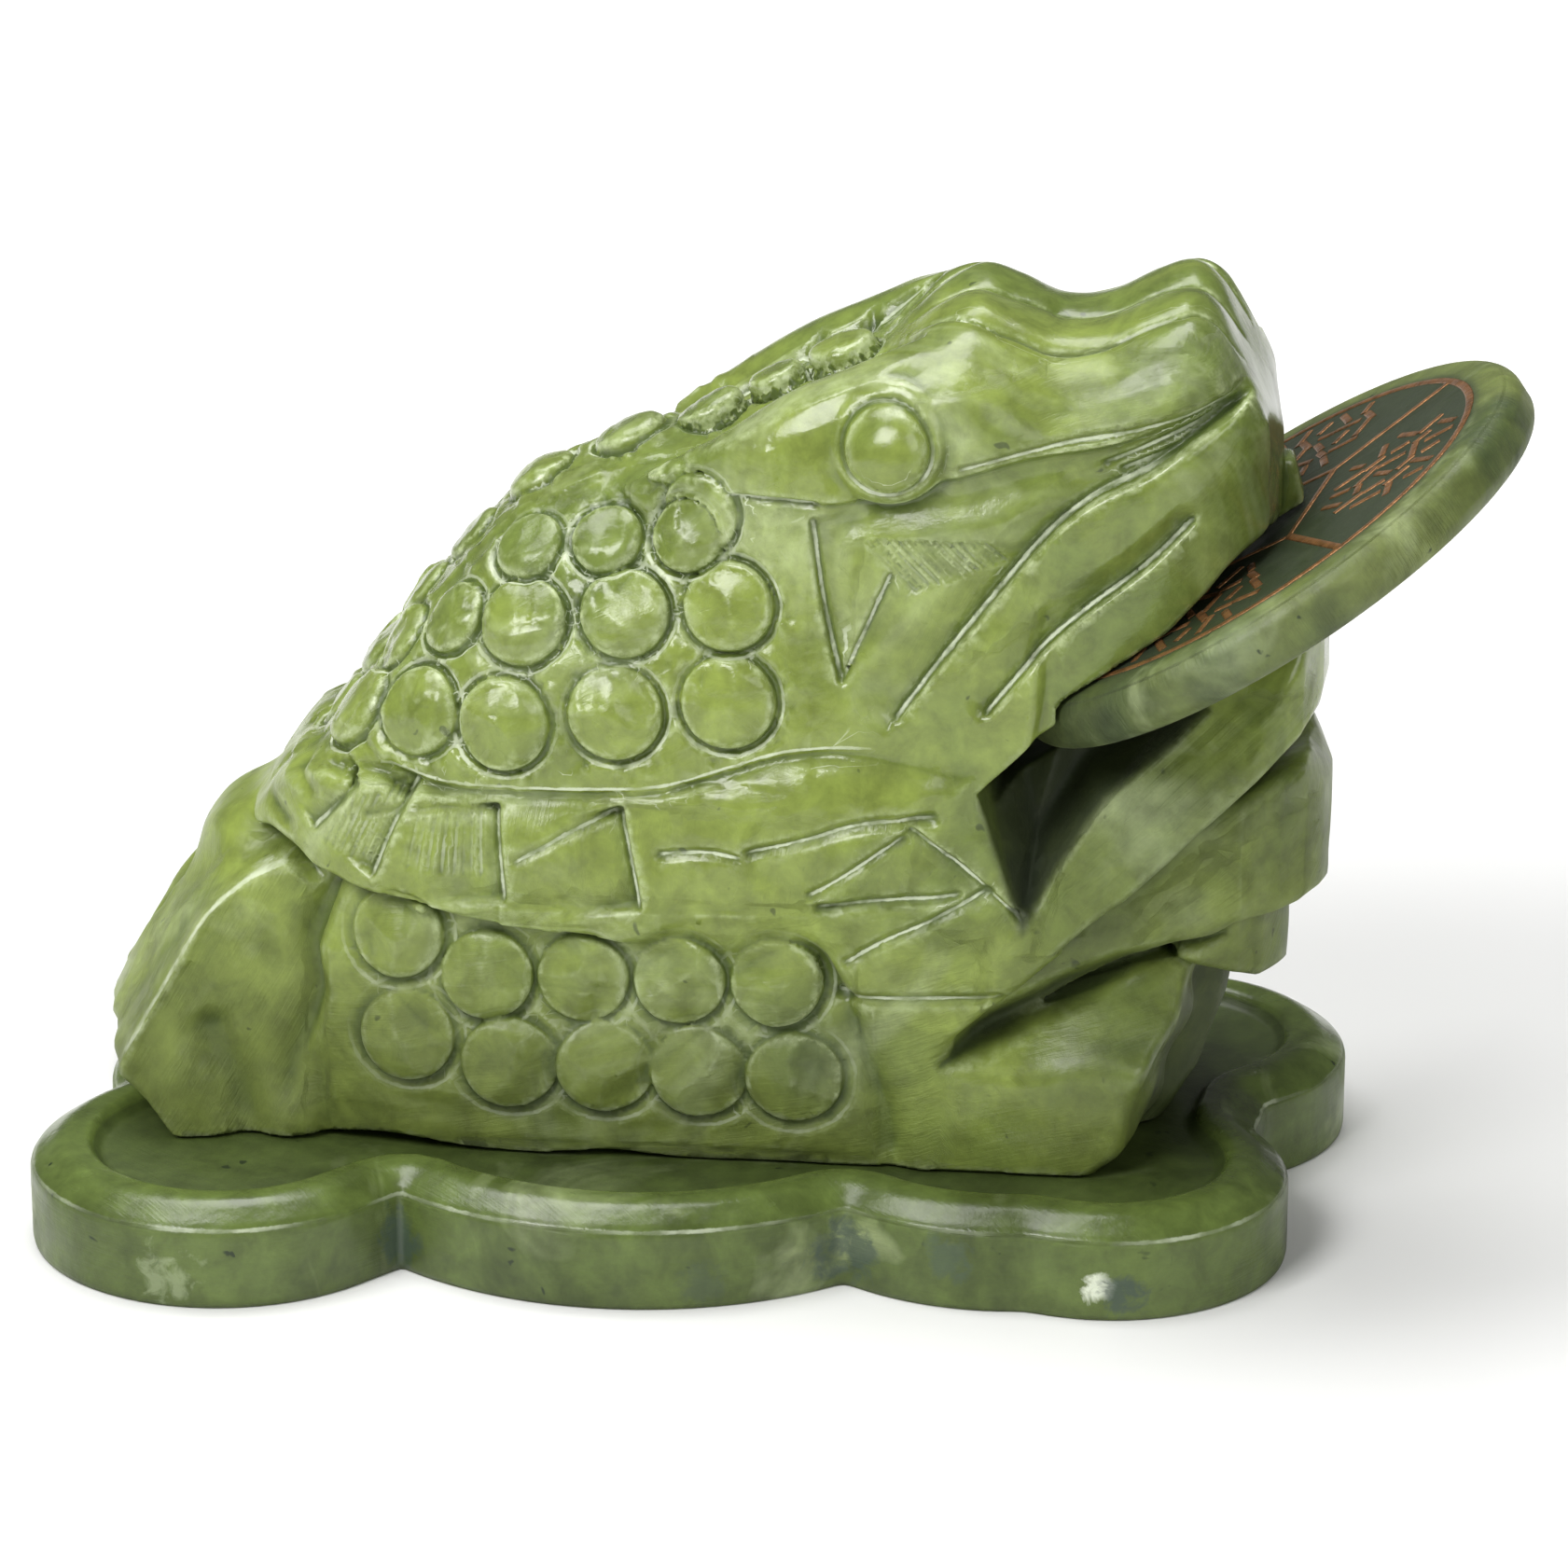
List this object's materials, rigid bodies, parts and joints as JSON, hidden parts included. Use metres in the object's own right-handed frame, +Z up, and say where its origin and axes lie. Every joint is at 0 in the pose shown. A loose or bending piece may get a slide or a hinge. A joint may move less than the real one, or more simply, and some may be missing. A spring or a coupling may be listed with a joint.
{
  "type": "money toad figure",
  "caption": "Carved stone toad with round bosses on its back, holding a thick disc coin in its open mouth, resting on a low lobed base.",
  "frame": {"origin": "in the flat underside of the base, below the middle of the toad, on the plane of symmetry", "axes": "+X forward through the nose and the coin, +Y to the toad's left, +Z up"},
  "size_m": [0.1343, 0.0769, 0.0874],
  "materials": {
    "base": "polished dark mottled green",
    "toad": "polished yellowish green",
    "coin": "polished green with shallow coppery strokes"
  },
  "bodies": {
    "root": {"base": "base", "toad": "toad", "coin": "coin"}
  },
  "joints": []
}
